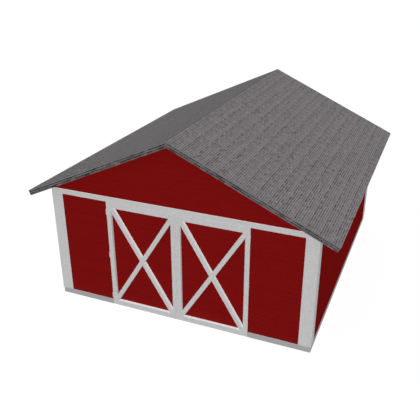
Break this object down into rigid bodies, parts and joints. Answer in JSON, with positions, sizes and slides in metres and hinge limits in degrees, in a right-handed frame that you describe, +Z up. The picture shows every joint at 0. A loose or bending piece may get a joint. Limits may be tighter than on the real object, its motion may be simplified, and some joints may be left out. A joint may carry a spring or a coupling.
{
  "type": "gable barn with double doors",
  "caption": "Small timber gable barn on a concrete foundation, with board cladding, white trim, a shingled roof and framed, cross-braced double doors.",
  "frame": {"origin": "on the ground, under the middle of the building", "axes": "+Z up; -Y points out of the doors; +Y runs along the ridge to the rear; +X to the right, seen from the front"},
  "size_m": [8.382, 9.012, 5.174],
  "materials": {
    "concrete": "cast concrete, float finish, light grey",
    "timber": "planed softwood, unpainted",
    "deck_boards": "square-edged softwood roof boards, unpainted",
    "red_paint": "dark red barn paint on boards",
    "white_paint": "off-white paint on boards",
    "shingles": "grey mineral-faced shingles",
    "edge_shingles": "grey shingle strips on the roof edges",
    "hinge_steel": "steel butt hinges, painted with the trim"
  },
  "bodies": {
    "barn": {"door_header": "timber", "door_jambs": "timber", "eave_blocks": "timber", "fascia_boards": "edge_shingles", "floor_slab": "concrete", "foundation_ends": "concrete", "foundation_sides": "concrete", "frieze_boards": "white_paint", "front_wall_frame": "timber", "front_wall_siding": "red_paint", "gable_corner_boards": "white_paint", "gable_frames": "timber", "gable_siding": "red_paint", "head_jamb": "timber", "jamb_hinges": "hinge_steel", "left_rake_boards": "edge_shingles", "left_roof_deck": "deck_boards", "left_roof_shingles": "shingles", "left_wall_frame": "timber", "left_wall_siding": "red_paint", "lookouts": "timber", "rafters": "timber", "rear_wall_frame": "timber", "rear_wall_siding": "red_paint", "ridge_board": "timber", "ridge_cap": "shingles", "right_rake_boards": "edge_shingles", "right_roof_deck": "deck_boards", "right_roof_shingles": "shingles", "right_wall_frame": "timber", "right_wall_siding": "red_paint", "side_corner_boards": "white_paint", "tie_beams": "timber"},
    "left_door": {"left_door_falling_brace": "white_paint", "left_door_hinges": "hinge_steel", "left_door_panel": "red_paint", "left_door_rails": "white_paint", "left_door_rising_brace": "white_paint", "left_door_stiles": "white_paint"},
    "right_door": {"right_door_falling_brace": "white_paint", "right_door_hinges": "hinge_steel", "right_door_panel": "red_paint", "right_door_rails": "white_paint", "right_door_rising_brace": "white_paint", "right_door_stiles": "white_paint"}
  },
  "joints": [
    {"name": "left_door_hinge", "type": "hinge", "parent": "barn", "child": "left_door", "pos_m": [-1.998, -4.185, 1.591], "axis": [0, 0, -1], "range_deg": [0, 170]},
    {"name": "right_door_hinge", "type": "hinge", "parent": "barn", "child": "right_door", "pos_m": [1.998, -4.185, 1.591], "axis": [0, 0, 1], "range_deg": [0, 170]}
  ]
}
